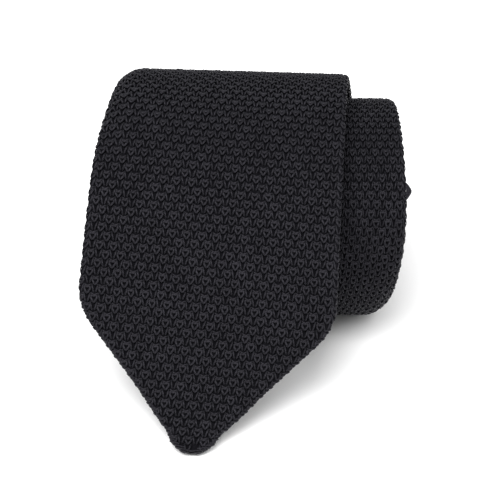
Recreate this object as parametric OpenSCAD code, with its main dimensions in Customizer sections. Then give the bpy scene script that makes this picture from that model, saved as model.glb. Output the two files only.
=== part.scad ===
// Knitted necktie with pointed ends, wound up from its narrow end.
// The wide blade is the outermost turn: it comes over the top of the roll and hangs down in
// front, with its point on the table. The origin is the middle of the footprint, on the table.
// +X runs along the roll, +Z is up, and the point faces -Y.
//
// Every sub-part follows one strip. A place on it is given by s, the distance from the blade's
// point round the roll, by x along the roll, and by a height over the middle of the cloth,
// positive towards the tie's front.

/* [Tie] */
// Length of the whole tie, from point to point
tie_l = 1480; // [1470:5:1490]
// Width of the blade across its shoulders
blade_w = 80; // [76:1:84]
// Width of the blade where it passes over the roll
over_w = 75; // [72:1:78]
// Width of the tie one turn further in
under_w = 63; // [60:1:66]
// Width of the neck
neck_w = 40; // [36:1:44]
// Width of the tail across its shoulders
tail_w = 46; // [42:1:50]
// Width left at the very tip of each point
tip_w = 4; // [3:0.5:6]
// Thickness of the tie: front knit, interlining and back knit
tie_t = 2.8; // [2.6:0.1:2.8]
// Length of the blade panel, to its seam at the neck
blade_panel_l = 640; // [600:10:680]
// Length of the tail panel, from its seam to its point
tail_panel_l = 520; // [480:10:560]

/* [Roll] */
// Radius of the second turn at the front, to the middle of the cloth
turn_r = 34.5; // [34.5:0.25:35.5]
// Distance from one turn to the next
pitch = 3.1; // [3.1:0.02:3.14]
// Extra radius of the loose outermost turn, over the top
slack = 6; // [4:0.5:8]
// Angle at which the flap runs across the roll
flap_helix = 5.2; // [0:0.2:6]
// Angle at which the rest of the outermost turn runs across the roll
turn_helix = 8.4; // [0:0.2:9]
// Depth that the knit flattens where the roll rests
sink = 0.6; // [0.5:0.05:0.7]

/* [Flap] */
// Distance of the blade's point in front of the roll's axis
point_y = 86; // [80:1:92]
// Slope of the flap where it leaves the roll
leave_slope = 22.5; // [7.5:15:37.5]
// Slope of the flap at its point
point_slope = 30; // [20:1:40]
// Distance from the blade's point to the line where the point curls
curl_s = 50; // [46:1:54]

/* [Construction] */
// Thickness of the interlining
interlining_t = 0.5; // [0.4:0.05:0.6]
// Thickness of the satin tipping, the label and the care tag
satin_t = 0.4; // [0.3:0.05:0.5]
// Distance of the keeper loop from the blade's point
keeper_s = 182; // [176:1:188]
// Length of the keeper loop across the tie
keeper_w = 48; // [40:1:56]
// Distance of the label from the blade's point
label_s = 128; // [122:1:134]

/* [Hidden] */
gap = 0.3;                              // clearance between pieces on different bodies
step_a = 15;                            // winding angle between stations
flap_steps = 24;                        // stations along the flap
rad = PI / 180;
half_t = tie_t / 2;

// Winding angles: 0 front, 90 top, 180 back, 270 bottom, 360 front again, and so on inwards.
leave_a = 90 - leave_slope;             // the flap leaves the roll
open_a = leave_a + 10 * step_a;         // the outer turn opens from here
join_a = leave_a + 18 * step_a;         // the outer turn passes into the inner roll
tight_a = 330;                          // the loose turn is snug from here on

point_l = blade_w / 2 + 2;              // from the point to the blade's shoulders
tail_point_l = tail_w / 2 + 1;

// ---- the strip's course round the roll, in the Y-Z plane ----

function looseness(a) =
    a <= 90 ? 1 : a >= tight_a ? 0 : (1 + cos(180 * (a - 90) / (tight_a - 90))) / 2;

function roll_r(a) = turn_r + pitch * (360 - a) / 360 + slack * looseness(a);

roll_z = roll_r(270) + half_t - sink;

function roll_point(a) = [-roll_r(a) * cos(a), roll_z + roll_r(a) * sin(a)];

// Cubic curve of the flap, from the point on the table (t = 0) to the roll (t = 1)
leave_p = roll_point(leave_a);
point_p = [-point_y, half_t * cos(point_slope)];
flap_handles = [26, 34];
flap_curve = [
    point_p,
    point_p + flap_handles[0] * [cos(point_slope), sin(point_slope)],
    leave_p - flap_handles[1] * [cos(leave_slope), sin(leave_slope)],
    leave_p
];

function flap_point(t) =
    pow(1 - t, 3) * flap_curve[0] + 3 * t * pow(1 - t, 2) * flap_curve[1]
    + 3 * t * t * (1 - t) * flap_curve[2] + t * t * t * flap_curve[3];

function turned(v) = [-v[1], v[0]] / norm(v);

// A station is [s, point, outward normal]
function running(places) =
    [for (i = 0, s = 0; i < len(places);
          s = s + (i + 1 < len(places) ? norm(places[i + 1] - places[i]) : 0), i = i + 1) s];

flap_places = [for (i = [0:flap_steps]) flap_point(i / flap_steps)];
flap_s = running(flap_places);
flap_l = flap_s[flap_steps];
flap_stations = [
    for (i = [0:flap_steps])
        [flap_s[i], flap_places[i],
         turned(flap_point(i / flap_steps + 0.01) - flap_point(i / flap_steps - 0.01))]
];

// The last winding angle is where the tie's length runs out: the inner roll is a plain spiral
outer_steps = (join_a - leave_a) / step_a;
outer_l = flap_l
    + running([for (i = [0:outer_steps]) roll_point(leave_a + i * step_a)])[outer_steps];
join_r = roll_r(join_a);
spiral_rad = (join_r - sqrt(join_r * join_r - pitch * (tie_l - outer_l) / PI)) * 2 * PI / pitch;
end_a = join_a + step_a * floor(spiral_rad / rad / step_a);

roll_angles = [for (a = [leave_a:step_a:end_a]) a];
roll_s = running([for (a = roll_angles) roll_point(a)]);
function roll_station(a, s) = [s, roll_point(a), turned(roll_point(a + 1) - roll_point(a - 1))];

// The two points of the curve at the leaving angle are one, so the roll's list starts after it
stations = concat(
    flap_stations,
    [for (i = [1:len(roll_angles) - 1]) roll_station(roll_angles[i], flap_l + roll_s[i])]
);
wound_tie_l = stations[len(stations) - 1][0];

function station_at_angle(a) = flap_steps + (a - leave_a) / step_a;
function station_near(s) = len([for (p = stations) if (p[0] < s) 1]);
function station_at(s) =
    let (i = station_near(s), a = stations[i - 1], b = stations[i], t = (s - a[0]) / (b[0] - a[0]))
    [s, a[1] + t * (b[1] - a[1]), (a[2] + t * (b[2] - a[2])) / norm(a[2] + t * (b[2] - a[2]))];

// ---- the strip's outline: edges in x for a distance s ----

widths = [
    [0, tip_w], [point_l, blade_w], [150, over_w], [350, under_w], [blade_panel_l, neck_w + 2],
    [760, neck_w], [1000, neck_w + 1], [wound_tie_l - tail_point_l, tail_w], [wound_tie_l, tip_w]
];
// Angle of the tie's run across the roll, by distance from the blade's point
helixes = [[0, flap_helix], [130, flap_helix], [170, turn_helix], [260, turn_helix], [330, 0]];
run_step = 5;
run_slopes = [for (s = [0:run_step:360]) tan(lookup(s + run_step / 2, helixes))];
run_table = [for (i = 0, x = 0; i < len(run_slopes);
                  x = x + run_slopes[i] * run_step, i = i + 1) [i * run_step, x]];
function run_x(s) = lookup(s, run_table);

// The tie is square to its own run, so its edges are turned with it
function edge(s, side) =
    let (half_w = lookup(s, widths) / 2, turn = lookup(s, helixes))
    [s - side * half_w * sin(turn), run_x(s) + side * half_w * cos(turn)];

edge_steps = [for (s = [0:2:60]) s, for (s = [65:5:wound_tie_l - 30]) s,
              for (s = [wound_tie_l - tail_point_l:2:wound_tie_l - 1]) s, wound_tie_l];
left_edge = [for (s = edge_steps) edge(s, -1)];
right_edge = [for (s = edge_steps) edge(s, 1)];
function left_x(s) = lookup(s, left_edge);
function right_x(s) = lookup(s, right_edge);

// ---- footprint, which the origin is the middle of ----

front_y = -point_y - half_t * sin(point_slope);
back_y = max([for (a = [150:step_a:210]) roll_point(a)[0] + half_t * roll_station(a, 0)[2][0]]);
low_x = min([for (p = stations) left_x(p[0])]);
high_x = max([for (p = stations) right_x(p[0])]);
centre = [(low_x + high_x) / 2, (front_y + back_y) / 2, 0];

// ---- solids swept along the strip ----

// A place on a station, kept on or over the table
function placed(p, x, h) =
    let (q = p[1] + h * p[2]) [x - centre[0], q[0] - centre[1], max(0, q[1])];

// The station moved along the strip by d
function moved(p, d) = [p[0] + d, p[1] + d * [p[2][1], -p[2][0]], p[2]];

// Stations between two station numbers, with each end pulled in by half a clearance
function stretch(from, to, trim_from = gap / 2, trim_to = gap / 2) =
    [for (i = [from:to])
        i == from ? moved(stations[i], trim_from)
        : i == to ? moved(stations[i], -trim_to) : stations[i]];

// Eight-cornered section, as a flattened tube: inset from both edges, between two heights
function tube_ring(p, inset, half_h, corner) =
    let (l = left_x(p[0]) + inset, r = right_x(p[0]) - inset, low = half_h - corner)
    [placed(p, l, -low), placed(p, l + corner, -half_h),
     placed(p, r - corner, -half_h), placed(p, r, -low),
     placed(p, r, low), placed(p, r - corner, half_h),
     placed(p, l + corner, half_h), placed(p, l, low)];

// Four-cornered section between two places in x and two heights
function flat_ring(p, l, r, low, high) =
    [placed(p, l, low), placed(p, r, low), placed(p, r, high), placed(p, l, high)];

function flatten(lists) = [for (list = lists) each list];
function sides(n, rings, first = 0) =
    [for (i = [0:rings - 2], j = [0:n - 1])
        [first + i * n + j, first + i * n + (j + 1) % n,
         first + (i + 1) * n + (j + 1) % n, first + (i + 1) * n + j]];
function cap(n, first) = [for (j = [0:n - 1]) first + j];
function reversed(list) = [for (i = [len(list) - 1:-1:0]) list[i]];
function all_reversed(faces) = [for (f = faces) reversed(f)];
function collar(n, outer, inner) =
    [for (j = [0:n - 1]) [outer + j, outer + (j + 1) % n, inner + (j + 1) % n, inner + j]];

// A solid strip through its rings
module swept(rings) {
    n = len(rings[0]);
    last = n * (len(rings) - 1);
    polyhedron(
        points = flatten(rings),
        faces = concat(sides(n, len(rings)), [reversed(cap(n, 0))], [cap(n, last)])
    );
}

// A hollow strip: outer and inner rings end together, and a blind start closes the hollow there
module hollow_strip(outer, inner, blind_start = false, blind_end = false) {
    n = len(outer[0]);
    hollow = n * len(outer);
    outer_last = hollow - n;
    inner_last = hollow + n * (len(inner) - 1);
    polyhedron(
        points = concat(flatten(outer), flatten(inner)),
        faces = concat(
            sides(n, len(outer)),
            all_reversed(sides(n, len(inner), hollow)),
            blind_start ? [reversed(cap(n, 0)), cap(n, hollow)]
                        : all_reversed(collar(n, 0, hollow)),
            blind_end ? [cap(n, outer_last), reversed(cap(n, inner_last))]
                      : collar(n, outer_last, inner_last)
        )
    );
}

knit_corner = 0.9;                      // bevel along the folded edges of the knit
slot_inset = 2.2;                       // knit left beside the interlining at each edge
slot_t = interlining_t + 0.2;
slot_corner = 0.1;
blind_steps = 4;                        // stations of solid knit in a point

function outer_rings(part) = [for (p = part) tube_ring(p, 0, half_t, knit_corner)];
function slot_rings(part) = [for (p = part) tube_ring(p, slot_inset, slot_t / 2, slot_corner)];
function without_first(list, n) = [for (i = [n:len(list) - 1]) list[i]];
function without_last(list, n) = [for (i = [0:len(list) - 1 - n]) list[i]];

module knit(part, first_point = false, last_point = false) {
    color("#26262a")
        hollow_strip(
            outer_rings(part),
            slot_rings(first_point ? without_first(part, blind_steps)
                       : last_point ? without_last(part, blind_steps) : part),
            blind_start = first_point, blind_end = last_point
        );
}

module interlining(part) {
    inset = slot_inset + 0.3;
    color("#d8d2c4")
        swept([for (p = part)
            flat_ring(p, left_x(p[0]) + inset, right_x(p[0]) - inset,
                      -interlining_t / 2, interlining_t / 2)]);
}

// A thin piece lying on the tie's back, from s to s + l, inset from both edges
module on_back(s, l, inset, t, colour) {
    part = [for (i = [station_near(s):station_near(s + l)]) stations[i]];
    color(colour)
        swept([for (p = part)
            flat_ring(p, left_x(p[0]) + inset, right_x(p[0]) - inset, -half_t - t, -half_t)]);
}

// ---- stations where the pieces end ----

curl_i = station_near(curl_s);
leave_i = station_at_angle(leave_a);
open_i = station_at_angle(open_a);
join_i = station_at_angle(join_a);
blade_seam_i = station_near(blade_panel_l);
tail_seam_i = station_near(wound_tie_l - tail_panel_l);
end_i = len(stations) - 1;
seam_l = 1.2;                           // length of a neck seam along the strip

point_part = stretch(0, curl_i, 0, gap / 2);
flap_part = stretch(curl_i, leave_i);
wrap_part = stretch(leave_i, open_i);
turn_part = stretch(open_i, join_i);
inner_part = stretch(join_i, blade_seam_i, gap / 2, seam_l / 2);
neck_part = stretch(blade_seam_i, tail_seam_i, seam_l / 2, seam_l / 2);
tail_part = stretch(tail_seam_i, end_i, seam_l / 2, 0);

// ---- knitted shell ----

module point_knit() {
    knit(point_part, first_point = true);
}

module flap_knit() {
    knit(flap_part);
}

module wrap_knit() {
    knit(wrap_part);
}

module turn_knit() {
    knit(turn_part);
}

module inner_blade_knit() {
    knit(inner_part);
}

module neck_knit() {
    knit(neck_part);
}

module tail_knit() {
    knit(tail_part, last_point = true);
}

// ---- interlining, inside the shell ----

module point_interlining() {
    interlining(without_first(point_part, blind_steps + 1));
}

module flap_interlining() {
    interlining(flap_part);
}

module wrap_interlining() {
    interlining(wrap_part);
}

module turn_interlining() {
    interlining(turn_part);
}

// The blade's interlining ends in the middle of the neck, and the tail's starts a step further
neck_half = floor(len(neck_part) / 2);

module inner_interlining() {
    interlining(concat(inner_part, without_last(neck_part, len(neck_part) - neck_half)));
}

module tail_interlining() {
    interlining(concat(without_first(neck_part, neck_half),
                       without_last(tail_part, blind_steps + 1)));
}

// ---- satin and trim on the tie's back ----

tipping_inset = 7;                      // knit hem left round a tipping

module blade_tipping() {
    on_back(14, curl_s - 20, tipping_inset, satin_t, "#17171a");
}

module tail_tipping() {
    on_back(wound_tie_l - 40, 26, tipping_inset, 0.2, "#17171a");
}

function middle_x(s) = (left_x(s) + right_x(s)) / 2;
stitch_gap = 0.15;                      // keeps a straight stitch clear of the curved knit

// A short block across the middle of the back
module across_back(s, w, l, t, clear = stitch_gap) {
    top = -half_t - clear;
    swept([for (d = [-l / 2, l / 2])
        flat_ring(moved(station_at(s), d), middle_x(s) - w / 2, middle_x(s) + w / 2,
                  top - t, top)]);
}

// A short bar across the lower end of each back seam, slim where the turns lie close
module blade_bar_tack() {
    color("#1d1d20")
        across_back(62, 8, 1.6, 0.5);
}

module tail_bar_tack() {
    color("#1d1d20")
        across_back(wound_tie_l - 44, 8, 1, 0.12, 0.08);
}

// A band across the back, sewn down at both ends and free in the middle
module keeper_loop() {
    i = station_near(keeper_s);
    middle = middle_x(stations[i][0]);
    band_t = 0.6;
    foot = 4;
    lift = 0.7;
    across = [0, foot, foot + 3, keeper_w - foot - 3, keeper_w - foot, keeper_w];
    lifts = [0, 0, lift, lift, 0, 0];
    color("#1b1b1e")
        swept([for (k = [0:len(across) - 1])
            let (x = middle - keeper_w / 2 + across[k], top = -half_t - lifts[k])
            [placed(stations[i - 1], x, top), placed(stations[i + 1], x, top),
             placed(stations[i + 1], x, top - band_t), placed(stations[i - 1], x, top - band_t)]]);
}

module label() {
    on_back(label_s, 22, 12, satin_t, "#202024");
}

// A small tag folded double, sewn in beside the back seam
module care_tag() {
    i = station_near(label_s + 32);
    middle = middle_x(stations[i][0]);
    color("#2b2b30")
        swept([for (k = [i - 1:i + 1])
            flat_ring(stations[k], middle + 3, middle + 19, -half_t - 2 * satin_t, -half_t)]);
}

// Slip stitches that draw the two folded edges together along the middle of the back
module back_seam() {
    color("#1d1d20")
        for (s = [stations[leave_i][0] + 3:4:label_s - 3])
            across_back(s, 3, 1.6, 0.3);
}

// A seam fills the clearance between two panels
module neck_seam(i) {
    color("#1d1d20")
        hollow_strip(
            outer_rings([moved(stations[i], -seam_l / 2), moved(stations[i], seam_l / 2)]),
            slot_rings([moved(stations[i], -seam_l / 2), moved(stations[i], seam_l / 2)])
        );
}

module blade_neck_seam() {
    neck_seam(blade_seam_i);
}

module tail_neck_seam() {
    neck_seam(tail_seam_i);
}

point_knit();
flap_knit();
wrap_knit();
turn_knit();
inner_blade_knit();
neck_knit();
tail_knit();
point_interlining();
flap_interlining();
wrap_interlining();
turn_interlining();
inner_interlining();
tail_interlining();
blade_tipping();
tail_tipping();
blade_bar_tack();
tail_bar_tack();
keeper_loop();
label();
care_tag();
back_seam();
blade_neck_seam();
tail_neck_seam();
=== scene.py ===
"""Dark knitted necktie, wound up, with its pointed blade hanging over the front of the roll.

Every piece follows the strip that the CAD model winds. A place on it is (s, across, height), in
millimetres: s runs from the blade's point round the roll, across is measured from the strip's
middle line, and height is over the middle of the cloth, positive towards the tie's front.
The knit is a tube, so its stitches are laid out in cloth coordinates (s, around, lift): around
starts at the middle of the front and runs over the folded edge to the middle of the back.
"""

import math

import bpy
import numpy as np
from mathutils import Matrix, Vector


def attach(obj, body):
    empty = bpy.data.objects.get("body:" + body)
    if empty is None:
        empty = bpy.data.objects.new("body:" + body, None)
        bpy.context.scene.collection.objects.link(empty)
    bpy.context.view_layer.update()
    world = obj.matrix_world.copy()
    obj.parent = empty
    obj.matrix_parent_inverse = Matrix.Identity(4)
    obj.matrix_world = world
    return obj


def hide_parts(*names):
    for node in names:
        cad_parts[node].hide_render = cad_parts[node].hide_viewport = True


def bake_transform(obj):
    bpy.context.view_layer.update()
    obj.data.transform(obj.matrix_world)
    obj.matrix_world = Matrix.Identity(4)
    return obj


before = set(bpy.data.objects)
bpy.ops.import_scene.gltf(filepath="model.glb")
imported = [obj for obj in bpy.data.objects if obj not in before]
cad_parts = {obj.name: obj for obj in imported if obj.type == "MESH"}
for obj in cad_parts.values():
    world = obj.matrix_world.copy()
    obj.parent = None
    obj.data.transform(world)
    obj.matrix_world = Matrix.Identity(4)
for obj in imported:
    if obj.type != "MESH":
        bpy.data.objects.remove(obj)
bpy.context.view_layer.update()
MM = 0.001
random = np.random.default_rng(11)

# ---- the CAD model's dimensions, in millimetres and degrees ----
# Names that end in _S are distances from the blade's point, and those in _A are winding angles:
# 0 front, 90 top, 180 back, 270 bottom, 360 front again, and so on inwards.

TIE_L = 1480
TIE_T = 2.8
HALF_T = TIE_T / 2
BLADE_W = 80            # across the blade's shoulders
OVER_W = 75             # where the blade passes over the roll
UNDER_W = 63            # one turn further in
NECK_W = 40
TAIL_W = 46             # across the tail's shoulders
TIP_W = 4               # left at the very tip of each point
POINT_L = BLADE_W / 2 + 2
TAIL_POINT_L = TAIL_W / 2 + 1
BLADE_PANEL_L = 640
TAIL_PANEL_L = 520
TURN_R = 34.5           # radius of the second turn at the front, to the middle of the cloth
PITCH = 3.1             # from one turn to the next
SLACK = 6               # extra radius of the loose outermost turn, over the top
SINK = 0.6              # depth that the knit flattens where the roll rests
STEP_A = 15             # winding angle between the CAD model's stations
FLAP_STEPS = 24         # the CAD model's stations along the flap
POINT_Y = 86            # distance of the point in front of the roll's axis
LEAVE_SLOPE = 22.5      # slope of the flap where it leaves the roll
POINT_SLOPE = 30        # slope of the flap at its point
FLAP_HANDLES = (26, 34)
LEAVE_A = 90 - LEAVE_SLOPE
OPEN_A = LEAVE_A + 10 * STEP_A
JOIN_A = LEAVE_A + 18 * STEP_A
TIGHT_A = 330           # the loose turn is snug from here on
CURL_S = 50             # where the point curls
LABEL_S = 128
KEEPER_S = 182
KEEPER_W = 48           # length of the keeper across the tie
TIPPING_INSET = 7       # width of the hem round a tipping

# Angle at which the strip runs across the roll, by distance
HELIX_S = (0, 130, 170, 260, 330)
HELIX_A = (5.2, 5.2, 8.4, 8.4, 0)

# ---- the knit's own dimensions ----

WALES = 36              # columns of stitches across the front
PERIOD = 5.4            # from one stitch to the next along a column
LAYER = 0.7             # height of the knit's middle over the middle of the cloth
BACKING = -0.38         # lift of the dark inner side under the stitches
FILLING = 1.13          # extra lift of the inner side where no stitches cover it
BACK_FACE = -1.75       # height of the thread and the keeper on the back of the tie
EDGE_SPACING = 1.6      # from one column to the next where only the edges have stitches
TIP_R = 9.5             # radius of the rounded point
TIP_FLATTENING = 0.93   # the point's width over that of a round one
TIP_CAP_L = 4           # length of the point that its rounding alone shapes
TIP_SWELL = 0.6         # extra half width just behind the rounding
SWELL_S = (12, 20)      # where the swelling fades
TIP_CLOSING = 1.6       # length over which the two layers close together at a point
TIP_GAP = 0.35          # length at each end where no cloth is laid
SCALLOP = 2.7           # from one bulge of the turned edge to the next
SHOULDER = 3.0          # softness of the blade's shoulders
BEND = 12.5             # half the length of cloth that bends at a hinge
CURL_R = 7.5            # radius of a loose edge that curls down over the roll
SLACK_RISE = 1.1 / 37   # slope of the cloth across the roll's top, up to its slack left side


# ---- the strip's course round the roll ----

def looseness(a):
    fall = (1 + np.cos(np.radians(180 * (a - 90) / (TIGHT_A - 90)))) / 2
    return np.where(a <= 90, 1, np.where(a >= TIGHT_A, 0, fall))


def roll_r(a):
    return TURN_R + PITCH * (360 - a) / 360 + SLACK * looseness(a)


ROLL_Z = float(roll_r(270)) + HALF_T - SINK


def roll_point(a):
    turn = np.radians(a)
    return np.stack([-roll_r(a) * np.cos(turn), ROLL_Z + roll_r(a) * np.sin(turn)], axis=-1)


def slope_vector(degrees):
    return np.array([math.cos(math.radians(degrees)), math.sin(math.radians(degrees))])


def flap_point(t):
    t = np.asarray(t)[:, None]
    end = roll_point(np.array([LEAVE_A]))[0]
    start = np.array([-POINT_Y, HALF_T * math.cos(math.radians(POINT_SLOPE))])
    low = start + FLAP_HANDLES[0] * slope_vector(POINT_SLOPE)
    high = end - FLAP_HANDLES[1] * slope_vector(LEAVE_SLOPE)
    return (
        (1 - t) ** 3 * start
        + 3 * t * (1 - t) ** 2 * low
        + 3 * t * t * (1 - t) * high
        + t**3 * end
    )


def running(points):
    steps = np.linalg.norm(np.diff(points, axis=0), axis=1)
    return np.concatenate([[0], np.cumsum(steps)])


def lay_course():
    """Distance, place and outward normal along the strip's middle line, and the distance at each
    of the CAD model's winding angles."""
    flap_t = np.linspace(0, 1, FLAP_STEPS + 1)
    flap_s = running(flap_point(flap_t))
    angles = np.arange(LEAVE_A, 4000, STEP_A)
    angle_s = flap_s[-1] + running(roll_point(angles))
    join_r = float(roll_r(JOIN_A))
    inner_l = TIE_L - np.interp(JOIN_A, angles, angle_s)
    turns = (join_r - math.sqrt(join_r**2 - PITCH * inner_l / math.pi)) / PITCH
    end_a = JOIN_A + STEP_A * math.floor(turns * 360 / STEP_A)

    fine_t = np.linspace(0, 1, 4 * FLAP_STEPS + 1)
    fine_a = np.arange(LEAVE_A, end_a + 0.1, STEP_A / 10)
    points = np.concatenate([flap_point(fine_t), roll_point(fine_a)[1:]])
    distance = np.concatenate(
        [np.interp(fine_t, flap_t, flap_s), np.interp(fine_a, angles, angle_s)[1:]]
    )
    tangent = np.gradient(points, axis=0)
    tangent /= np.linalg.norm(tangent, axis=1)[:, None]
    normal = np.stack([-tangent[:, 1], tangent[:, 0]], axis=1)
    return distance, points, normal, (angles, angle_s)


COURSE_S, COURSE_POINT, COURSE_NORMAL, ANGLE_TABLE = lay_course()
WOUND_L = COURSE_S[-1]


def s_at(angle):
    return float(np.interp(angle, *ANGLE_TABLE))


LEAVE = s_at(LEAVE_A)
OPEN = s_at(OPEN_A)
JOIN = s_at(JOIN_A)
BOTTOM = s_at(265)      # from wrap_knit to turn_knit, under the roll
SECOND = s_at(400)      # from turn_knit to inner_blade_knit, near the front of the roll
SECOND_END = s_at(700)  # further in, only the edges have stitches
SNAG = s_at(399)        # middle of the snagged loop
FLAP_STATIONS = running(flap_point(np.linspace(0, 1, FLAP_STEPS + 1)))
CURL = float(FLAP_STATIONS[FLAP_STATIONS >= CURL_S][0])
MID_FLAP = (CURL + LEAVE) / 2
MID_WRAP = (LEAVE + OPEN) / 2


def seam_at(s):
    """The CAD model's first station from s on, where two panels are sewn together."""
    angle_s = ANGLE_TABLE[1]
    return float(angle_s[angle_s >= s][0])


BLADE_SEAM = seam_at(BLADE_PANEL_L)
TAIL_SEAM = seam_at(WOUND_L - TAIL_PANEL_L)


def smooth_step(x, low, high):
    t = np.clip((x - low) / (high - low), 0, 1)
    return t * t * (3 - 2 * t)


# ---- the strip's outline ----

WIDTH_S = (0, POINT_L, 150, 350, BLADE_PANEL_L, 760, 1000, WOUND_L - TAIL_POINT_L, WOUND_L)
WIDTH_W = (TIP_W, BLADE_W, OVER_W, UNDER_W, NECK_W + 2, NECK_W, NECK_W + 1, TAIL_W, TIP_W)
# Sideways travel of the middle line, by distance
RUN_S = np.arange(0, HELIX_S[-1] + 1, 1.0)
RUN_X = np.concatenate(
    [[0], np.cumsum(np.tan(np.radians(np.interp(RUN_S[:-1] + 0.5, HELIX_S, HELIX_A))))]
)


def half_width(s):
    """Half the tie's width at s, with rounded points and shoulders."""
    plain = np.interp(s, WIDTH_S, WIDTH_W) / 2
    from_shoulder = np.abs(s - POINT_L)
    plain = plain - SHOULDER / 2 * np.clip(1 - from_shoulder / (2 * SHOULDER), 0, 1) ** 2
    plain = plain + TIP_SWELL * (1 - smooth_step(s, *SWELL_S))
    from_tip = np.minimum(s, WOUND_L - s)
    rounded = np.clip(from_tip, 0, TIP_R)
    cap = TIP_FLATTENING * np.sqrt(2 * TIP_R * rounded - rounded**2)
    return np.maximum(np.where(from_tip < TIP_CAP_L, 0, plain), cap)


def edge_x():
    """Lowest and highest x of the CAD model's edges."""
    s = np.arange(0, WOUND_L, 1.0)
    turn = np.radians(np.interp(s, HELIX_S, HELIX_A))
    reach = np.interp(s, WIDTH_S, WIDTH_W) / 2 * np.cos(turn)
    middle = np.interp(s, RUN_S, RUN_X)
    return (middle - reach).min(), (middle + reach).max()


def back_y():
    angles = np.arange(150, 211, STEP_A)
    return (roll_point(angles)[:, 0] - HALF_T * np.cos(np.radians(angles))).max()


LOW_X, HIGH_X = edge_x()
FRONT_Y = -POINT_Y - HALF_T * math.sin(math.radians(POINT_SLOPE))
CENTRE = np.array([(LOW_X + HIGH_X) / 2, (FRONT_Y + back_y()) / 2])

# Sideways shifts of the cloth from its even course, by distance
SHIFT_S = (0, 14, 40, 90, 200, 240, 275, 292, 320, 380, 430, 600)
SHIFT_X = (-0.9, -0.3, 0, -0.9, -0.9, -1.5, -3.2, -1.8, -1.0, -1.6, -1.6, 0)

# Loose edges: side, distance from the middle line where the curl begins, its radius, and the
# distances along the tie between which it grows and then fades
OVER_TOP = (76, 116, 150, 210)
CURLS = (
    (-1, 28.6, CURL_R, OVER_TOP),
    (1, 26.0, CURL_R, (248, 272, 292, 320)),
    (1, 24.0, 3 * CURL_R, (350, 395, 420, 470)),
)


def hump(s, rise_from, rise_to, fall_from, fall_to):
    return smooth_step(s, rise_from, rise_to) * (1 - smooth_step(s, fall_from, fall_to))


def curled(s, across, height):
    """Across and height after the loose cloth settles: its unsupported edges bend down over
    the roll in an even curve, and the slack left side lies higher than the right."""
    height = height - SLACK_RISE * across * hump(s, *OVER_TOP)
    for side, begins, radius, stretch in CURLS:
        tightness = np.maximum(hump(s, *stretch) / radius, 1e-4)
        past = np.maximum(side * across - begins, 0)
        bend = past * tightness
        moved_in = past - np.sin(bend) / tightness
        across = across - side * moved_in + side * height * np.sin(bend)
        height = height * np.cos(bend) - (1 - np.cos(bend)) / tightness
    return across, height


def strip_point(s, across, height):
    """Place in the row frame, in metres, of points given on the strip, in millimetres."""
    s, across, height = np.broadcast_arrays(s, across, height)
    turn = np.radians(np.interp(s, HELIX_S, HELIX_A))
    along = s - across * np.sin(turn)
    across, height = curled(s, across, height)
    x = np.interp(s, RUN_S, RUN_X) + np.interp(s, SHIFT_S, SHIFT_X) + across * np.cos(turn)
    place = [
        np.interp(along, COURSE_S, COURSE_POINT[:, k])
        + height * np.interp(along, COURSE_S, COURSE_NORMAL[:, k])
        for k in (0, 1)
    ]
    before_tip = np.minimum(along, 0)
    y = place[0] + before_tip * math.cos(math.radians(POINT_SLOPE))
    z = place[1] + before_tip * math.sin(math.radians(POINT_SLOPE))
    return MM * np.stack([x - CENTRE[0], y - CENTRE[1], np.maximum(z, 0)], axis=-1)


# ---- the knit as a flattened tube ----

def layer_height(s):
    """Height of the knit's layers, which close together at both points."""
    from_tip = np.clip(np.minimum(s, WOUND_L - s) / TIP_CLOSING, 0, 1)
    return LAYER * np.sqrt(1 - (1 - from_tip) ** 2)


def flat_reach(s):
    """Distance from the middle line to where the folded edge begins."""
    return np.maximum(half_width(s) - 2 * LAYER, 0.3)


def half_round(s):
    """Length of cloth from the middle of the front to the middle of the back."""
    return 2 * flat_reach(s) + math.pi * layer_height(s)


def past_fold(s, around):
    """Distance along the cloth from the folded edge, negative on the fold itself."""
    layer = layer_height(s)
    return np.abs(np.abs(around) - flat_reach(s) - math.pi / 2 * layer) - math.pi / 2 * layer


def cloth_point(s, around, lift):
    """Place in the row frame of points on the knitted tube."""
    s, around, lift = np.broadcast_arrays(s, around, lift)
    s = np.clip(s, TIP_GAP, WOUND_L - TIP_GAP)
    reach = flat_reach(s)
    layer = layer_height(s)
    side = np.sign(around)
    past = np.abs(around) - reach
    bend = np.clip(past / layer, 0, math.pi)
    on_back = np.clip(past - math.pi * layer, 0, reach)
    radius = np.maximum(layer + lift, 0.05)
    across = side * np.where(past < 0, np.abs(around), reach + radius * np.sin(bend) - on_back)
    return strip_point(s, across, radius * np.cos(bend))


# ---- meshes ----

def new_piece(name, points, faces, material, corner_uv=None, tone=None):
    """A smooth mesh object from arrays of points and quads."""
    mesh = bpy.data.meshes.new(name)
    mesh.vertices.add(len(points))
    mesh.vertices.foreach_set("co", np.ascontiguousarray(points, dtype=np.float32).ravel())
    mesh.loops.add(faces.size)
    mesh.loops.foreach_set("vertex_index", faces.astype(np.int32).ravel())
    mesh.polygons.add(len(faces))
    mesh.polygons.foreach_set("loop_start", np.arange(0, faces.size, 4, dtype=np.int32))
    mesh.polygons.foreach_set("use_smooth", np.ones(len(faces), dtype=bool))
    if corner_uv is not None:
        uv = mesh.uv_layers.new(name="thread")
        uv.data.foreach_set("uv", corner_uv.astype(np.float32).ravel())
    if tone is not None:
        attribute = mesh.attributes.new("tone", "FLOAT", "POINT")
        attribute.data.foreach_set("value", tone.astype(np.float32))
    mesh.update(calc_edges=True)
    mesh.materials.append(material)
    piece = bpy.data.objects.new(name, mesh)
    bpy.context.scene.collection.objects.link(piece)
    return piece


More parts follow.
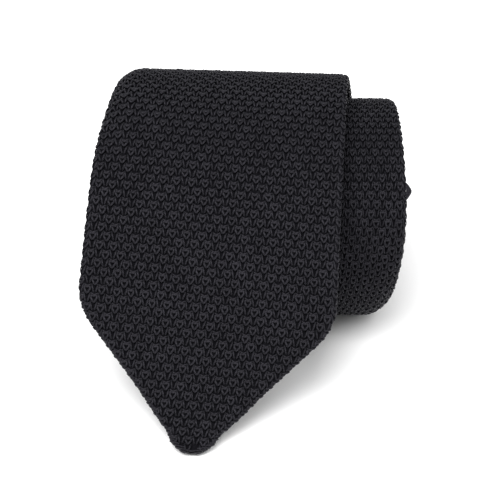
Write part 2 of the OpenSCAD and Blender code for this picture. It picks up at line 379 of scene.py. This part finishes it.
def grid_quads(rows, columns, closed_rows=False, closed_columns=False):
    """Quads of a grid of points numbered row by row."""
    i = np.arange(rows if closed_rows else rows - 1)[:, None]
    j = np.arange(columns if closed_columns else columns - 1)[None, :]
    next_i = (i + 1) % rows
    next_j = (j + 1) % columns
    corners = ((i, j), (i, next_j), (next_i, next_j), (next_i, j))
    return np.stack([row * columns + column for row, column in corners], axis=-1).reshape(-1, 4)


def tube(path, radii, sides, closed=False):
    """Points, quads and corner UVs (distance along, turn round) of a thread along a path."""
    path = np.asarray(path, float)
    radii = np.broadcast_to(radii, len(path))
    if closed:
        tangent = np.roll(path, -1, axis=0) - np.roll(path, 1, axis=0)
    else:
        tangent = np.gradient(path, axis=0)
    tangent /= np.linalg.norm(tangent, axis=1)[:, None]
    side = np.cross(tangent, [0, 0, 1.0])
    side /= np.maximum(np.linalg.norm(side, axis=1), 1e-6)[:, None]
    up = np.cross(side, tangent)
    angle = 2 * math.pi * np.arange(sides) / sides
    ring = np.cos(angle)[None, :, None] * side[:, None] + np.sin(angle)[None, :, None] * up[:, None]
    points = (path[:, None] + radii[:, None, None] * ring).reshape(-1, 3)
    quads = grid_quads(len(path), sides, closed_rows=closed, closed_columns=True)

    steps = np.linalg.norm(np.roll(path, -1, axis=0) - path, axis=1)
    start = np.concatenate([[0], np.cumsum(steps)])
    i = np.arange(len(quads)) // sides
    j = np.arange(len(quads)) % sides
    along = np.stack([start[i], start[i], start[i + 1], start[i + 1]], axis=1)
    round_ = np.stack([j, j + 1, j + 1, j], axis=1) / sides
    return points, quads, np.stack([along, round_], axis=-1)


def joined(parts):
    """Several tubes as one set of points, quads and corner UVs."""
    first = np.cumsum([0] + [len(p[0]) for p in parts[:-1]])
    return (
        np.concatenate([p[0] for p in parts]),
        np.concatenate([p[1] + n for p, n in zip(parts, first)]),
        np.concatenate([p[2] for p in parts]),
    )


# ---- one stitch, in millimetres: across the column, along it, and lift ----

# Right half of the cup, from the bottom of its V up to the dip in the middle of its cap
CUP = [
    (0.00, 0.16, 0.30), (0.27, 0.44, 0.40), (0.54, 0.84, 0.44), (0.78, 1.26, 0.36),
    (0.90, 1.64, 0.14), (0.84, 1.98, -0.06), (0.54, 2.12, -0.16), (0.24, 1.98, -0.18),
    (0.00, 1.90, -0.18),
]
# The tucked yarn over the cap, which rises to both sides
TUCK = [
    (-1.02, 2.86, -0.40), (-0.62, 2.56, -0.24), (0.00, 2.28, -0.22), (0.62, 2.56, -0.24),
    (1.02, 2.86, -0.40),
]
# Right leg under the cup, which dives between the columns at both ends
LEG = [
    (0.98, 0.50, -0.34), (0.90, -0.04, 0.12), (0.75, -0.70, 0.36), (0.56, -1.38, 0.36),
    (0.38, -1.96, 0.04), (0.28, -2.36, -0.44),
]
STITCH_W = 2.2          # from one column to the next, as the stitch is drawn
CUP_R = 0.34
CAP_R = 0.44            # the cup's yarn is doubled in its cap
TUCK_R = 0.36
LEG_R = 0.30
# How much one stitch differs from the next: standard deviations, in millimetres or as shares
UNEVEN_PLACE = (0.07, 0.05)
UNEVEN_SIZE = 0.03
UNEVEN_LEAN = 0.04
UNEVEN_LIFT = 0.03
UNEVEN_TONE = 0.16


def mirrored(path):
    return [(-x, y, h) for x, y, h in path]


def stitch(coarse):
    """The cup, the tucked yarn and both legs of one stitch. A coarse one has fewer faces and no
    tucked yarn."""
    step = 2 if coarse else 1
    cup = np.array(CUP + mirrored(CUP[-2:0:-1]))[::step]
    cup_r = np.interp(cup[:, 1], (1.4, 1.9), (CUP_R, CAP_R))
    leg = np.array(LEG if not coarse else [LEG[0], LEG[2], LEG[3], LEG[5]])
    leg_r = LEG_R * np.array([0.5] + [1] * (len(leg) - 2) + [0.4])
    legs = [tube(leg * (side, 1, 1), leg_r, 4 if coarse else 5) for side in (1, -1)]
    tuck = [] if coarse else [tube(TUCK, TUCK_R, 5)]
    return joined([tube(cup, cup_r, 4 if coarse else 6, closed=True)] + tuck + legs)


STITCH = {"fine": stitch(False), "coarse": stitch(True)}


def stitch_places(s_from, s_to, columns, spacing):
    """Distance and place round the tube of every stitch whose V is between two distances.
    Neighbouring columns are half a period apart."""
    places = []
    for column in columns:
        offset = PERIOD / 2 * (column % 2)
        first = math.ceil((s_from - offset) / PERIOD)
        last = math.ceil((s_to - offset) / PERIOD)
        s = offset + PERIOD * np.arange(first, last)
        places.append(np.stack([s, (column + 0.5) * spacing(s)], axis=1))
    return np.concatenate(places)


def blade_spacing(s):
    return np.interp(np.maximum(s, POINT_L), WIDTH_S, WIDTH_W) / WALES


def knit_yarn(name, places, spacing, detail, material):
    """One mesh of all the stitches at places, each a little uneven."""
    points, quads, corner_uv = STITCH[detail]
    count = len(places)
    s = places[:, 0] + random.normal(0, UNEVEN_PLACE[0], count)
    around = places[:, 1] + random.normal(0, UNEVEN_PLACE[1], count)
    stretch = random.normal(1, UNEVEN_SIZE, count)
    across_scale = spacing(places[:, 0]) / STITCH_W * random.normal(1, UNEVEN_SIZE, count)
    lean = random.normal(0, UNEVEN_LEAN, count)
    rise = random.normal(0, UNEVEN_LIFT, count)
    x = points[None, :, 0] * across_scale[:, None] + lean[:, None] * points[None, :, 1]
    y = points[None, :, 1] * stretch[:, None]
    lift = points[None, :, 2] + rise[:, None]
    s = s[:, None] + y
    around = around[:, None] + x
    # The yarn is pulled flatter where it goes over a folded edge
    at_fold = 1 - smooth_step(past_fold(s, around), -0.5, 1.5)
    world = cloth_point(s, around, lift * (1 - 0.5 * at_fold))
    faces = quads[None] + len(points) * np.arange(count)[:, None, None]
    tone = np.repeat(random.normal(0.5, UNEVEN_TONE, count), len(points))
    return new_piece(
        name,
        world.reshape(-1, 3),
        faces.reshape(-1, 4),
        material,
        np.tile(corner_uv.reshape(1, -1, 2), (count, 1, 1)),
        tone,
    )


# Where the filling of the back's inner side sets in
BARE_BACK_S = (JOIN + 100, JOIN + 130)


def backing_lift(s, around, bare_from):
    """Lift of the inner side: it meets the yarn at the folded edges, and past bare_from, where
    no stitches are laid over it, it fills the space between the wound turns."""
    at_fold = 1 - smooth_step(past_fold(s, around), -0.3, 1.2)
    on_back = np.abs(around) > half_round(s) / 2
    bare_back = smooth_step(s, *BARE_BACK_S)
    bare_front = smooth_step(s, bare_from, bare_from + 10)
    bare = np.where(on_back, bare_back, bare_front)
    filled = bare * smooth_step(past_fold(s, around), 1.8, 5)
    return BACKING * (1 - at_fold) + FILLING * filled


def knit_backing(name, s_from, s_to, material, bare_from=WOUND_L):
    """The dark inner side of the knitted cloth, which shows between the stitches. It is one flat
    panel folded round, so its two long edges meet at the middle of the back. Its points lie
    closer together towards the folded edges."""
    row_step, flat_count, crowding = 2.0, 15, 0.6
    rows = max(2, int((s_to - s_from) / row_step) + 1)
    s = np.linspace(s_from, s_to, rows)[:, None]
    reach = flat_reach(s)
    bend_l = math.pi * layer_height(s)
    front = np.linspace(0, 1, flat_count) ** crowding * reach
    edge = reach + np.linspace(0, 1, 6)[1:] * bend_l
    back = reach + bend_l + (1 - np.linspace(1, 0, flat_count)[1:] ** crowding) * reach
    half = np.concatenate([front, edge, back], axis=1)
    around = np.concatenate([-half[:, ::-1], half[:, 1:]], axis=1)
    world = cloth_point(s, around, backing_lift(s, around, bare_from))
    return new_piece(
        name, world.reshape(-1, 3), grid_quads(rows, around.shape[1]), material
    )


# ---- materials ----

def new_material(name):
    material = bpy.data.materials.new(name)
    material.use_nodes = True
    nodes = material.node_tree.nodes
    return material, nodes, material.node_tree.links, nodes["Principled BSDF"]


def noise(nodes, links, scale, detail):
    node = nodes.new("ShaderNodeTexNoise")
    node.inputs["Scale"].default_value = scale
    node.inputs["Detail"].default_value = detail
    links.new(nodes.new("ShaderNodeTexCoord").outputs["Object"], node.inputs["Vector"])
    return node.outputs["Fac"]


def maths(nodes, links, operation, *values):
    """The result of a math node whose inputs are numbers or sockets."""
    node = nodes.new("ShaderNodeMath")
    node.operation = operation
    for socket, value in zip(node.inputs, values):
        if isinstance(value, float):
            socket.default_value = value
        else:
            links.new(value, socket)
    return node.outputs[0]


def ramp(nodes, links, source, stops):
    node = nodes.new("ShaderNodeValToRGB")
    elements = node.color_ramp.elements
    while len(elements) < len(stops):
        elements.new(0.5)
    for element, (position, colour) in zip(elements, stops):
        element.position = position
        element.color = (*colour, 1)
    links.new(source, node.inputs["Fac"])
    return node.outputs["Color"]


def bump(nodes, links, shader, height, strength, distance):
    node = nodes.new("ShaderNodeBump")
    node.inputs["Strength"].default_value = strength
    node.inputs["Distance"].default_value = distance
    links.new(height, node.inputs["Height"])
    links.new(node.outputs["Normal"], shader.inputs["Normal"])


def yarn_material(name, dark, light):
    """Twisted matt yarn: plies run round the thread, and each stitch has its own tone."""
    material, nodes, links, shader = new_material(name)
    tone = nodes.new("ShaderNodeAttribute")
    tone.attribute_name = "tone"
    half_tone = maths(nodes, links, "MULTIPLY", tone.outputs["Fac"], 0.5)
    mixed = maths(nodes, links, "MULTIPLY_ADD", noise(nodes, links, 90, 4), 0.5, half_tone)
    colour = ramp(nodes, links, mixed, [(0.25, dark), (0.75, light)])
    links.new(colour, shader.inputs["Base Color"])

    uv = nodes.new("ShaderNodeUVMap")
    uv.uv_map = "thread"
    twist = nodes.new("ShaderNodeVectorMath")
    twist.operation = "DOT_PRODUCT"
    twist.inputs[1].default_value = (1.1, 2.0, 0)
    links.new(uv.outputs["UV"], twist.inputs[0])
    turns = maths(nodes, links, "MULTIPLY", twist.outputs["Value"], 2 * math.pi)
    plies = maths(nodes, links, "SINE", turns)
    height = maths(nodes, links, "ADD", plies, noise(nodes, links, 2600, 3))
    bump(nodes, links, shader, height, 0.5, 0.00006)
    shader.inputs["Roughness"].default_value = 0.5
    shader.inputs["Specular IOR Level"].default_value = 0.17
    shader.inputs["Specular Tint"].default_value = (0.90, 0.86, 1.0, 1)
    shader.inputs["Sheen Weight"].default_value = 0.035
    shader.inputs["Sheen Roughness"].default_value = 0.5
    shader.inputs["Sheen Tint"].default_value = (0.75, 0.78, 0.9, 1)
    return material


def cloth_material(name, dark, light, roughness, noise_scale, bump_distance, sheen, gloss):
    """Felt, or the inner side of the knit: soft colour variation and a fine raised surface."""
    material, nodes, links, shader = new_material(name)
    cloudy = noise(nodes, links, noise_scale, 5)
    colour = ramp(nodes, links, cloudy, [(0.3, dark), (0.7, light)])
    links.new(colour, shader.inputs["Base Color"])
    fine = noise(nodes, links, noise_scale * 6, 3)
    bump(nodes, links, shader, fine, 0.6, bump_distance)
    shader.inputs["Roughness"].default_value = roughness
    shader.inputs["Specular IOR Level"].default_value = gloss
    shader.inputs["Sheen Weight"].default_value = sheen
    return material


def weave_material(name, dark, light, per_m, roughness, sheen):
    """Satin or woven tape: fine crossing threads, seen as colour, gloss and relief."""
    material, nodes, links, shader = new_material(name)
    place = nodes.new("ShaderNodeTexCoord").outputs["UV"]
    heights = []
    for direction in ("X", "Y"):
        bands = nodes.new("ShaderNodeTexWave")
        bands.bands_direction = direction
        bands.inputs["Scale"].default_value = per_m
        bands.inputs["Distortion"].default_value = 0.6
        bands.inputs["Detail"].default_value = 2
        links.new(place, bands.inputs["Vector"])
        heights.append(bands.outputs["Fac"])
    crossed = maths(nodes, links, "MULTIPLY", *heights)
    colour = ramp(nodes, links, crossed, [(0.1, dark), (0.8, light)])
    links.new(colour, shader.inputs["Base Color"])
    bump(nodes, links, shader, crossed, 0.5, 0.00005)
    shader.inputs["Roughness"].default_value = roughness
    shader.inputs["Specular IOR Level"].default_value = 0.1
    shader.inputs["Sheen Weight"].default_value = sheen
    return material


YARN = yarn_material("knit_yarn", (0.0023, 0.0022, 0.0028), (0.0066, 0.0064, 0.0080))
DARK = cloth_material(
    "knit_inner_side", (0.0034, 0.0033, 0.0042), (0.0062, 0.0060, 0.0074),
    roughness=1.0, noise_scale=800, bump_distance=0.0002, sheen=0.0, gloss=0.0,
)
FELT = cloth_material(
    "interlining_felt", (0.50, 0.46, 0.39), (0.68, 0.64, 0.56),
    roughness=0.95, noise_scale=500, bump_distance=0.0003, sheen=0.3, gloss=0.3,
)
SATIN = weave_material("black_satin", (0.006, 0.006, 0.007), (0.018, 0.018, 0.021), 1.2, 0.45, 0.03)
TAPE = weave_material("woven_tape", (0.016, 0.016, 0.019), (0.048, 0.048, 0.054), 0.8, 0.7, 0.05)
THREAD = yarn_material("sewing_thread", (0.014, 0.014, 0.016), (0.035, 0.035, 0.040))


# ---- the knitted stretches ----

def bend_between(piece, stayer, mover, hinge_s, towards):
    """Bakes piece's placement into its mesh; it is not bent. stayer and mover are not used."""
    start, end = (
        Vector(strip_point(hinge_s + d, 0, 0).tolist()) for d in (-towards * BEND, towards * BEND)
    )
    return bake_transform(piece)


def turned_edge(name, s_from, s_to, pitch, material):
    """Tight slanting stitches over both edges of the point, where its hem is turned under."""
    count, sides, yarn_r = 9, 6, 0.27
    overlap, tip_overlap, slant = 0.7, 3.0, 1.1
    bulge, bulge_change = 0.16, 0.2
    bend = np.linspace(0, 1, count)
    paths = []
    for s in np.arange(s_from, s_to, pitch):
        reach = float(flat_reach(s))
        fold_l = math.pi * float(layer_height(s))
        inside = min(overlap + tip_overlap * float(1 - smooth_step(s, 1, 5)), reach)
        around = reach - inside + bend * (inside + overlap + fold_l)
        along = s + slant * (bend - 0.5)
        height = bulge + bulge_change * math.sin(2 * math.pi * s / SCALLOP)
        lift = height * np.sin(math.pi * bend)
        for side in (1, -1):
            paths.append(np.stack([along, side * around, lift], axis=1))
    points, quads, corner_uv = joined([tube(path, yarn_r, sides) for path in paths])
    tone = np.repeat(random.normal(0.5, 0.14, len(paths)), count * sides)
    piece = new_piece(name, cloth_point(*points.T), quads, material, corner_uv, tone)
    return piece


# Name, from, to, body that stays, body that moves, hinge, way to the mover, CAD node
STRETCHES = [
    ("point", 0.0, MID_FLAP, "flap", "point", CURL, -1, "point_knit"),
    ("flap", MID_FLAP, MID_WRAP, "wrap", "flap", LEAVE, -1, "flap_knit"),
    ("wrap", MID_WRAP, BOTTOM, "roll", "wrap", OPEN, -1, "wrap_knit"),
    ("turn", BOTTOM, SECOND, "roll", "core", JOIN, 1, "turn_knit"),
]


TIPPING_S = (11, 47)


def clear_of_tipping(places):
    """Which stitches are not behind the tipping: the front's, the turned hem's, and the rest of
    the back's."""
    s = places[:, 0]
    past_edge = np.abs(places[:, 1]) - flat_reach(s) - math.pi * layer_height(s)
    return (s > TIPPING_S[1] - 1) | (past_edge < TIPPING_INSET)


# Columns of stitches, numbered from the middle of the front; the back's are drawn coarser
FIRST_STITCH = 1.0
FRONT = range(-WALES // 2 + 1, WALES // 2 - 1)
EDGES = [column for column in range(-WALES // 2 - 2, WALES // 2 + 2) if column not in FRONT]
BACK = [column for column in range(-WALES, WALES) if column not in (*FRONT, *EDGES)]

for name, s_from, s_to, stayer, mover, hinge, towards, node in STRETCHES:
    backing = knit_backing(f"{name}_knit_backing", s_from, s_to, DARK)
    yarns = []
    faces = (("front", FRONT, "fine"), ("edges", EDGES, "fine"), ("back", BACK, "coarse"))
    for face, columns, detail in faces:
        places = stitch_places(max(s_from, FIRST_STITCH), s_to, columns, blade_spacing)
        places = places[np.abs(places[:, 1]) < half_round(places[:, 0])]
        places = places[clear_of_tipping(places)]
        yarns.append(knit_yarn(f"{name}_yarn_{face}", places, blade_spacing, detail, YARN))
    if name == "point":
        yarns.append(turned_edge("point_turned_edge", 0.5, POINT_L, pitch=1.0, material=YARN))
    for piece in [backing, *yarns]:
        bend_between(piece, stayer, mover, hinge, towards)
    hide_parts(node)


# ---- the wound turns, which all move with the core ----

def lay_on_core(piece):
    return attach(piece, "core")


def edge_places(s_from, s_to):
    """Stitches round both folded edges, which are all that shows of the inner turns."""
    places = []
    for side in (1, -1):
        for column in range(-2, 3):
            offset = PERIOD / 2 * (column % 2)
            s = offset + PERIOD * np.arange(math.ceil(s_from / PERIOD), int(s_to / PERIOD))
            edge = flat_reach(s) + math.pi / 2 * layer_height(s)
            places.append(np.stack([s, side * (edge + column * EDGE_SPACING)], axis=1))
    return np.concatenate(places)


def edge_spacing(s):
    return np.full_like(s, EDGE_SPACING)


# The second turn's front is fine where it stands out at the right of the roll
FINE_FROM = 6
second_places = stitch_places(SECOND, SECOND_END, range(-21, 21), blade_spacing)
on_right = second_places[:, 1] > FINE_FROM
second_yarns = [
    knit_yarn("second_turn_yarn_right", second_places[on_right], blade_spacing, "fine", YARN),
    knit_yarn("second_turn_yarn_left", second_places[~on_right], blade_spacing, "coarse", YARN),
]
# Name, from, to, where the edges' stitches begin, CAD node, yarn that is already laid
WOUND = [
    ("inner_blade", SECOND, BLADE_SEAM, SECOND_END, "inner_blade_knit", second_yarns),
    ("neck", BLADE_SEAM, TAIL_SEAM, BLADE_SEAM, "neck_knit", []),
    ("tail", TAIL_SEAM, WOUND_L, TAIL_SEAM, "tail_knit", []),
]
for name, s_from, s_to, edges_from, node, yarns in WOUND:
    backing = knit_backing(f"{name}_knit_backing", s_from, s_to, DARK, SECOND_END)
    places = edge_places(edges_from, s_to - 1)
    yarns = yarns + [knit_yarn(f"{name}_yarn_edges", places, edge_spacing, "coarse", YARN)]
    for piece in [backing, *yarns]:
        lay_on_core(piece)
    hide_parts(node)


# ---- ribbons: interlinings, tippings, label, tag and keeper ----

def ribbon(name, path, low, high, thick, material, columns, along_strip=True):
    """A closed band of cloth. Its path is (distance, height) and it is wide across the strip,
    or, if it doesn't run along the strip, its path is (across, height) and it is wide along it."""
    path = np.asarray(path, float)
    low, high = (np.broadcast_to(v, len(path))[:, None] for v in (low, high))
    direction = np.gradient(path, axis=0)
    direction /= np.linalg.norm(direction, axis=1)[:, None]
    normal = np.stack([-direction[:, 1], direction[:, 0]], axis=1)
    wide = low + np.linspace(0, 1, columns) * (high - low)
    wide = np.concatenate([wide, wide[:, ::-1]], axis=1)
    sign = np.concatenate([np.ones(columns), -np.ones(columns)]) * thick / 2
    run = path[:, :1] + normal[:, :1] * sign
    height = path[:, 1:] + normal[:, 1:] * sign
    place = strip_point(run, wide, height) if along_strip else strip_point(wide, run, height)

    ring = 2 * columns
    faces = grid_quads(len(path), ring, closed_columns=True)
    j = np.arange(columns - 1)
    start_cap = np.stack([j, ring - 1 - j, ring - 2 - j, j + 1], axis=1)
    end_cap = start_cap[:, ::-1] + ring * (len(path) - 1)
    faces = np.concatenate([faces, start_cap, end_cap])
    uv = np.stack([wide, np.broadcast_to(running(path)[:, None], wide.shape)], axis=-1)
    return new_piece(name, place.reshape(-1, 3), faces, material, uv.reshape(-1, 2)[faces])


def straight(s_from, s_to, height, step=2.5):
    count = max(3, int((s_to - s_from) / step))
    s = np.linspace(s_from, s_to, count)
    return np.stack([s, np.full(count, float(height))], axis=1)


# Thickness, and distance from the tie's edges
FELT_T, FELT_INSET = 0.4, 3.0
SATIN_T, SATIN_INSET = 0.3, TIPPING_INSET - 0.6
LABEL_T, LABEL_INSET = 0.35, 12
TAG_T, KEEPER_T = 0.2, 0.5
# Height over the middle of the cloth, towards the front
BLADE_TIPPING_HEIGHT, TAIL_TIPPING_HEIGHT = -0.95, -1.5
LABEL_HEIGHT, TAG_HEIGHT = -1.72, -1.62
# Places and lengths along the tie
FELT_START, FELT_END = 16, 20       # from the blade's point, and from the tail's
TAIL_TIPPING_S = (WOUND_L - 42, WOUND_L - 12)
LABEL_L = 22
TAG_S, TAG_L = LABEL_S + 27, 13
KEEPER_L = 16
NECK_MIDDLE = (BLADE_SEAM + TAIL_SEAM) / 2
PANEL_GAP = 6                       # between the two interlinings, in the middle of the neck
# Across the tie
TAG_FROM, TAG_W = 3, 16
TAG_GAP = 0.3                       # between the folded tag's two halves
KEEPER_RISE = 0.7                   # of the keeper's middle off the cloth


def tapered_band(name, path, inset, thick, material, columns):
    """A band that stays inside the tie's edges by inset."""
    reach = np.maximum(half_width(path[:, 0]) - inset, 0.5)
    band = ribbon(name, path, -reach, reach, thick, material, columns)
    return band


def interlining(name, s_from, s_to, node):
    path = straight(s_from, s_to, 0)
    felt = tapered_band(name, path, FELT_INSET, FELT_T, FELT, 41)
    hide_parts(node)
    return felt


for name, s_from, s_to, stayer, mover, hinge, towards, node in STRETCHES:
    around = f"{name}_knit_backing"
    felt_from = max(s_from, FELT_START)
    felt = interlining(f"{name}_felt", felt_from, s_to, f"{name}_interlining")
    bend_between(felt, stayer, mover, hinge, towards)

INNER_FELTS = (
    ("inner", SECOND, NECK_MIDDLE - PANEL_GAP / 2, "inner_blade_knit_backing"),
    ("tail", NECK_MIDDLE + PANEL_GAP / 2, WOUND_L - FELT_END, "tail_knit_backing"),
)
for name, s_from, s_to, around in INNER_FELTS:
    felt = interlining(f"{name}_felt", s_from, s_to, f"{name}_interlining")
    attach(felt, "core")


def tipping(end, stretch, height):
    path = straight(*stretch, height, 1.5)
    name = f"{end}_satin_tipping"
    satin = tapered_band(name, path, SATIN_INSET, SATIN_T, SATIN, 17)
    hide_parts(f"{end}_tipping")
    return satin


blade_tipping = tipping("blade", TIPPING_S, BLADE_TIPPING_HEIGHT)
bend_between(blade_tipping, *STRETCHES[0][3:7])
tail_tipping = tipping("tail", TAIL_TIPPING_S, TAIL_TIPPING_HEIGHT)
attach(tail_tipping, "core")


def sewn_on_wrap(piece, node):
    """A small band sewn to the back of the outermost turn."""
    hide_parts(node)
    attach(piece, "wrap")


label_path = straight(LABEL_S, LABEL_S + LABEL_L, LABEL_HEIGHT, 1.5)
label_reach = half_width(label_path[:, 0]) - LABEL_INSET
label = ribbon("blank_label", label_path, -label_reach, label_reach, LABEL_T, TAPE, 25)
sewn_on_wrap(label, "label")


def folded_path(s_from, length, top, gap):
    """Down the tag, round its fold and back, as (distance, height)."""
    turn = np.linspace(0, math.pi, 9)
    fold_s = s_from + length + gap / 2 * np.sin(turn)
    fold_height = top - gap / 2 * (1 - np.cos(turn))
    out = straight(s_from, s_from + length, top, 1.5)
    back = out[::-1] - (0, gap)
    return np.concatenate([out[:-1], np.stack([fold_s, fold_height], axis=1), back[1:]])


tag_path = folded_path(TAG_S, TAG_L, TAG_HEIGHT, TAG_GAP)
tag = ribbon("blank_care_tag", tag_path, TAG_FROM, TAG_FROM + TAG_W, TAG_T, TAPE, 9)
sewn_on_wrap(tag, "care_tag")

# The keeper is free of the back but for both its ends
keeper_across = np.linspace(-KEEPER_W / 2, KEEPER_W / 2, 33)
keeper_rise = KEEPER_RISE * smooth_step(KEEPER_W / 2 - np.abs(keeper_across), 4, 8)
keeper_path = np.stack([keeper_across, BACK_FACE - keeper_rise], axis=1)
keeper_s = (KEEPER_S - KEEPER_L / 2, KEEPER_S + KEEPER_L / 2)
keeper = ribbon(
    "satin_keeper_loop", keeper_path, *keeper_s, KEEPER_T, SATIN, 13, along_strip=False
)
sewn_on_wrap(keeper, "keeper_loop")


# ---- sewing thread ----

def thread(name, paths, radius, place):
    """Lengths of sewing thread, each a tube whose path is mapped by place."""
    points, quads, corner_uv = joined([tube(path, radius, 6) for path in paths])
    tone = np.full(len(points), 0.5)
    piece = new_piece(name, place(*points.T), quads, THREAD, corner_uv, tone)
    return piece


def bar_tack(s, height):
    """Thread laid to and fro across the middle of the tie."""
    width, depth, turns = 8, 1.6, 14
    across = np.linspace(-width / 2, width / 2, 2 * turns + 1)
    along = s + depth / 2 * (-1.0) ** np.arange(len(across))
    return np.stack([along, across, np.full(len(across), height)], axis=1)


def arch(s_from, s_to, across_from, across_to, low, high, count=9):
    """A stitch that comes up at one place and goes down at another."""
    t = np.linspace(0, 1, count)
    return np.stack(
        [
            s_from + t * (s_to - s_from),
            across_from + t * (across_to - across_from),
            low + (high - low) * np.sin(math.pi * t) ** 0.6,
        ],
        axis=1,
    )


# Where a tack is and its height over the middle of the cloth
BLADE_TACK = (62, -1.6)
TAIL_TACK = (WOUND_L - 44, -1.5)
blade_tack = thread("blade_bar_tack_thread", [bar_tack(*BLADE_TACK)], 0.22, strip_point)
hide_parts("blade_bar_tack")
bend_between(blade_tack, *STRETCHES[0][3:7])
tail_tack = thread("tail_bar_tack_thread", [bar_tack(*TAIL_TACK)], 0.15, strip_point)
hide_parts("tail_bar_tack")
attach(tail_tack, "core")

slip_stitches = [
    arch(s, s + 1.4, -1.5, 1.5, -1.2, BACK_FACE)
    for s in np.arange(MID_FLAP + 2, LABEL_S - 3, 4.0)
]
back_seam = thread("back_seam_thread", slip_stitches, 0.25, strip_point)
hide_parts("back_seam")
bend_between(back_seam, *STRETCHES[1][3:7])


def overlock(s):
    """Short stitches over a seam, all the way round the tube."""
    spacing = 1.8
    half = float(half_round(np.array(s)))
    around = np.arange(-half + 1, half, spacing)
    return [arch(s - 1.3, s + 1.3, a - 0.4, a + 0.4, 0.1, 0.5, 7) for a in around]


for name, s in (("blade_neck_seam", BLADE_SEAM), ("tail_neck_seam", TAIL_SEAM)):
    seam = thread(f"{name}_thread", overlock(s), 0.22, cloth_point)
    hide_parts(name)
    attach(seam, "core")

hem_s = np.arange(TIPPING_S[0] + 1, TIPPING_S[1] - 1, 3.0)
hem_stitches = [
    arch(s, s + 1.2, side * (reach - 0.8), side * (reach + 1.0), -0.9, -1.5)
    for s, reach in zip(hem_s, flat_reach(hem_s) - TIPPING_INSET)
    for side in (1, -1)
]
hem_thread = thread("tipping_hem_stitches", hem_stitches, 0.16, strip_point)
bend_between(hem_thread, *STRETCHES[0][3:7])


# ---- a snagged loop of yarn at the second turn's right edge ----

SNAG_LOOPS = ((2.3, 1.5), (1.6, 0.95), (1.0, 0.4))      # half length and height of each loop
SNAG_PINCH = 0.55                                       # how far a loop narrows at its top
SNAG_PAST = 1.1                                         # past where the folded edge begins


def snag_path(reach, high):
    t = np.linspace(0, math.pi, 17)
    around = np.full(len(t), float(flat_reach(np.array(SNAG))) + SNAG_PAST)
    along = SNAG + reach * np.cos(t) * (1 - SNAG_PINCH * np.sin(t))
    return np.stack([along, around, high * np.sin(t)], axis=1)


snag_points, snag_quads, snag_uv = joined([tube(snag_path(*f), 0.36, 8) for f in SNAG_LOOPS])
snag_tone = np.full(len(snag_points), 0.6)
snag = new_piece(
    "snagged_loop", cloth_point(*snag_points.T), snag_quads, YARN, snag_uv, snag_tone
)
lay_on_core(snag)


# ---- camera, floor and light ----

VIEW_TILT = 33          # degrees
VIEW_DISTANCE = 0.6
VIEW_SHIFT = (0.0014, -0.015)       # of the middle of the view, sideways and upwards
LENS = 131
LIGHT_TARGET = (0, 0, 0.04)


def add_camera():
    data = bpy.data.cameras.new("camera")
    data.lens = LENS
    data.sensor_width = 36
    camera = bpy.data.objects.new("camera", data)
    bpy.context.scene.collection.objects.link(camera)
    tilt = math.radians(VIEW_TILT)
    away = Vector((0, -math.cos(tilt), math.sin(tilt)))
    up = Vector((0, math.sin(tilt), math.cos(tilt)))
    roll_centre = Vector((0, -CENTRE[1], ROLL_Z)) * MM
    target = roll_centre + VIEW_SHIFT[1] * up + Vector((VIEW_SHIFT[0], 0, 0))
    camera.location = target + VIEW_DISTANCE * away
    camera.rotation_euler = (math.radians(90 - VIEW_TILT), 0, 0)
    bpy.context.scene.camera = camera


def add_area_light(name, location, size, power):
    data = bpy.data.lights.new(name, "AREA")
    data.shape = "SQUARE"
    data.size = size
    data.energy = power
    light = bpy.data.objects.new(name, data)
    light.location = location
    aim = Vector(LIGHT_TARGET) - Vector(location)
    light.rotation_euler = aim.to_track_quat("-Z", "Y").to_euler()
    bpy.context.scene.collection.objects.link(light)


def add_floor():
    reach = 3.0
    material, _, _, shader = new_material("pale_floor")
    shader.inputs["Base Color"].default_value = (0.9, 0.9, 0.9, 1)
    shader.inputs["Roughness"].default_value = 0.9
    corners = reach * np.array([(-1, -1, 0), (1, -1, 0), (1, 1, 0), (-1, 1, 0)], float)
    floor = new_piece("floor", corners, np.array([[0, 1, 2, 3]]), material)


def add_world():
    world = bpy.data.worlds.new("studio")
    world.use_nodes = True
    background = world.node_tree.nodes["Background"]
    background.inputs["Color"].default_value = (1, 1, 1, 1)
    background.inputs["Strength"].default_value = 0.56
    bpy.context.scene.world = world


add_camera()
add_floor()
add_world()
add_area_light("key", (-0.3, -0.7, 1.25), size=1.0, power=36)
add_area_light("fill", (0.8, -0.35, 1.0), size=1.0, power=8)
bpy.context.scene.view_settings.view_transform = "Standard"
